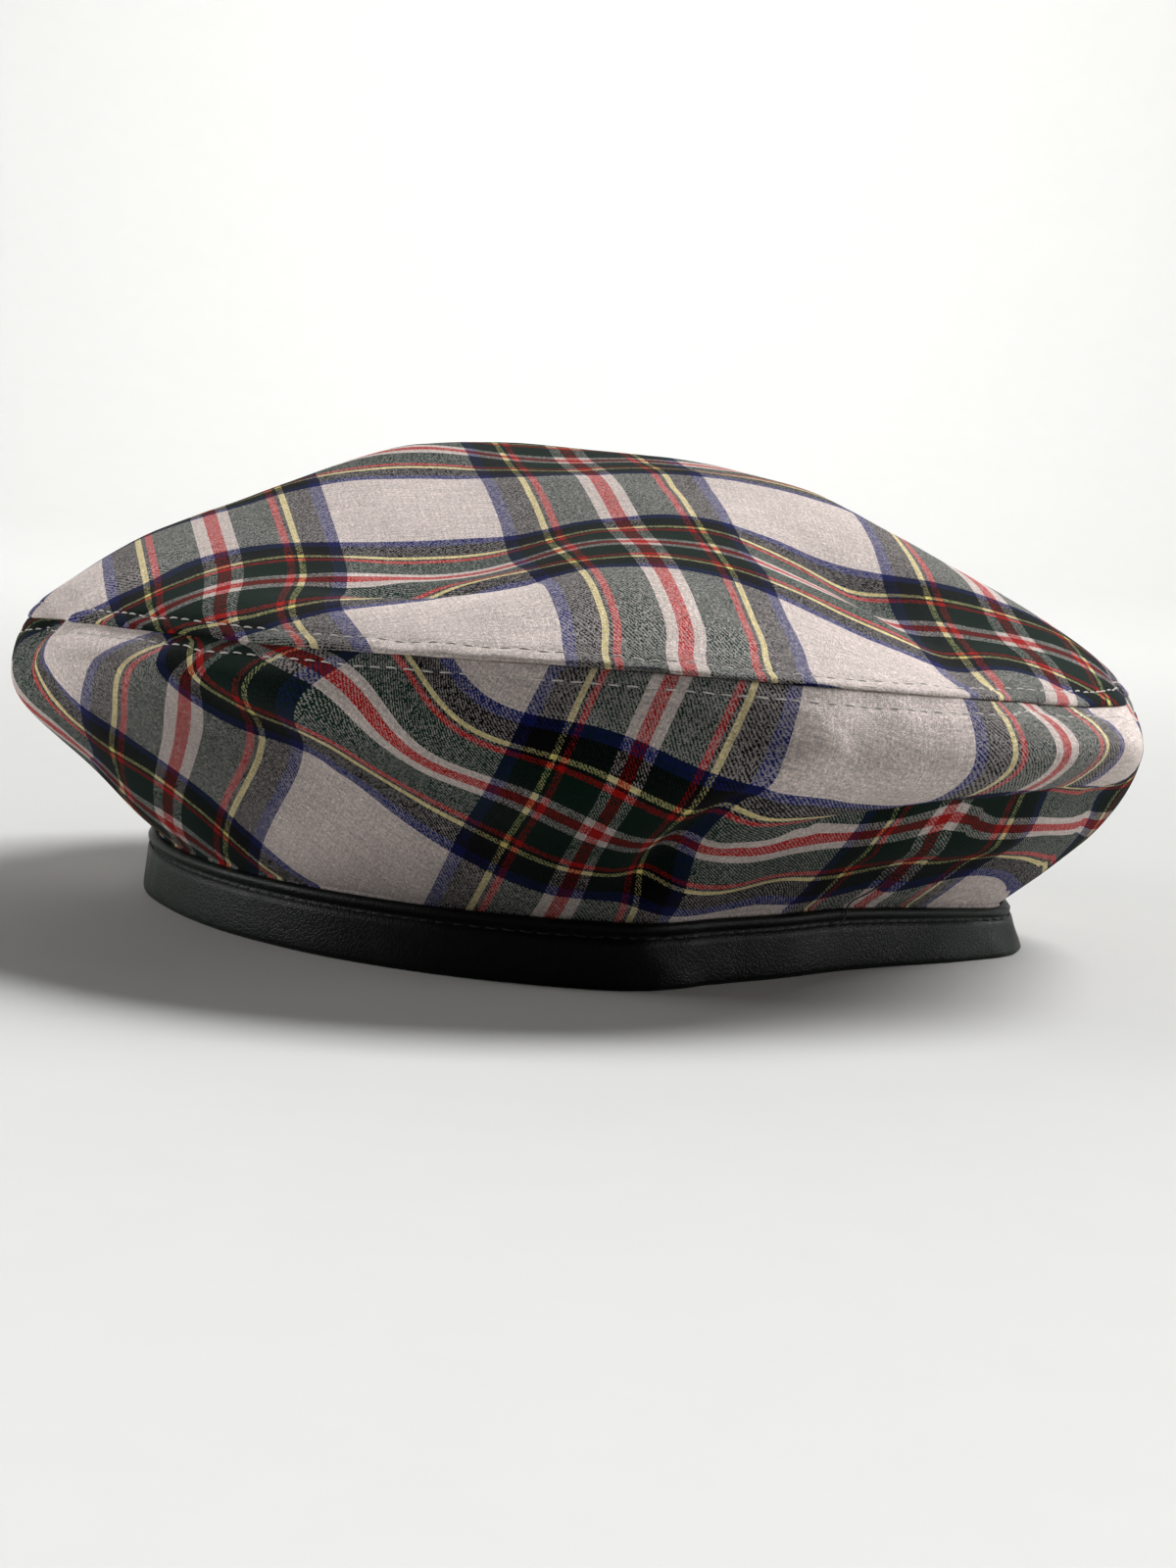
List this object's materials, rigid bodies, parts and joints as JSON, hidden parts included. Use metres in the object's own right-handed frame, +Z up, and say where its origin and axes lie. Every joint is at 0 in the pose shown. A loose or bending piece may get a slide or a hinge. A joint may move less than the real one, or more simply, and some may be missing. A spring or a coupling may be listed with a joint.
{
  "type": "tam o shanter",
  "caption": "Soft round tartan cap with a full, dented crown in two cloth panels and a narrow black leather head band, lying on its band.",
  "frame": {"origin": "centre of the bounding box, at the surface that the head band rests on", "axes": "+Z up, -Y the side that the picture shows as the front, +X to the right of that view"},
  "size_m": [0.2496, 0.2442, 0.1023],
  "materials": {
    "tartan_cloth": "woven twill in a dress tartan of cream, navy, black, dark green, red, white and yellow, dry and matt",
    "band_leather": "black imitation leather, soft satin sheen with a fine grain"
  },
  "bodies": {
    "root": {"crown_top": "tartan_cloth", "crown_under": "tartan_cloth", "head_band": "band_leather"}
  },
  "joints": []
}
